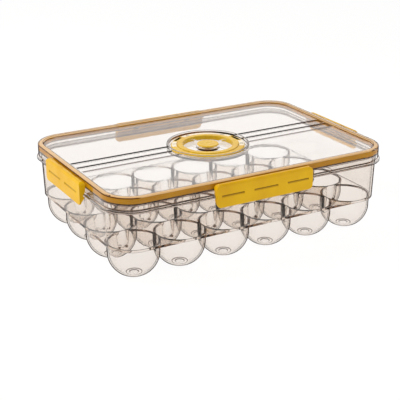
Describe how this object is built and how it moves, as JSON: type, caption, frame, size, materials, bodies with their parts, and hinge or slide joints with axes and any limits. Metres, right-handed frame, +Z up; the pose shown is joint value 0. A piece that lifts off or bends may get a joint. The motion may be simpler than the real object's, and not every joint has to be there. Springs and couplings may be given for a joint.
{
  "type": "egg storage box",
  "caption": "Clear egg keeper with a grid of moulded cups, a gasketed lift-off lid, four hinged snap latches and a turning date dial.",
  "frame": {"origin": "middle of the footprint, on the surface the box stands on", "axes": "+X along the long side, -Y towards the long side with the front latch, +Z up"},
  "size_m": [0.325, 0.225, 0.09],
  "materials": {
    "clear_tray": "clear, lightly smoked, high gloss",
    "clear_lid": "clear, lightly smoked, high gloss",
    "seal": "satin mustard silicone",
    "latch_plastic": "satin gloss",
    "dial_plastic": "gloss",
    "number_plate": "matt",
    "clip_plastic": "satin"
  },
  "bodies": {
    "tray": {"tray": "clear_tray"},
    "lid": {"lid": "clear_lid", "lid_gasket": "seal", "dial_plate": "number_plate"},
    "latch_front": {"latch_front": "latch_plastic"},
    "latch_back": {"latch_back": "latch_plastic"},
    "latch_left": {"latch_left": "latch_plastic"},
    "latch_right": {"latch_right": "latch_plastic"},
    "dial_ring": {"dial_ring": "dial_plastic"},
    "dial_knob": {"dial_knob": "dial_plastic", "dial_button": "dial_plastic", "dial_clip": "clip_plastic"}
  },
  "joints": [
    {"name": "lid_lift", "type": "slide", "parent": "tray", "child": "lid", "axis": [0, 0, 1], "range_m": [0, 0.12]},
    {"name": "latch_front_hinge", "type": "hinge", "parent": "lid", "child": "latch_front", "pos_m": [0, -0.10923, 0.0854], "axis": [-1, 0, 0], "range_deg": [-5, 120]},
    {"name": "latch_back_hinge", "type": "hinge", "parent": "lid", "child": "latch_back", "pos_m": [0, 0.10923, 0.0854], "axis": [1, 0, 0], "range_deg": [-5, 120]},
    {"name": "latch_left_hinge", "type": "hinge", "parent": "lid", "child": "latch_left", "pos_m": [-0.15923, 0, 0.0854], "axis": [0, 1, 0], "range_deg": [-5, 120]},
    {"name": "latch_right_hinge", "type": "hinge", "parent": "lid", "child": "latch_right", "pos_m": [0.15923, 0, 0.0854], "axis": [0, -1, 0], "range_deg": [-5, 120]},
    {"name": "dial_ring_turn", "type": "hinge", "parent": "lid", "child": "dial_ring", "pos_m": [0, 0, 0.0865], "axis": [0, 0, 1], "continuous": true},
    {"name": "dial_knob_turn", "type": "hinge", "parent": "lid", "child": "dial_knob", "pos_m": [0, 0, 0.0865], "axis": [0, 0, 1], "continuous": true}
  ]
}
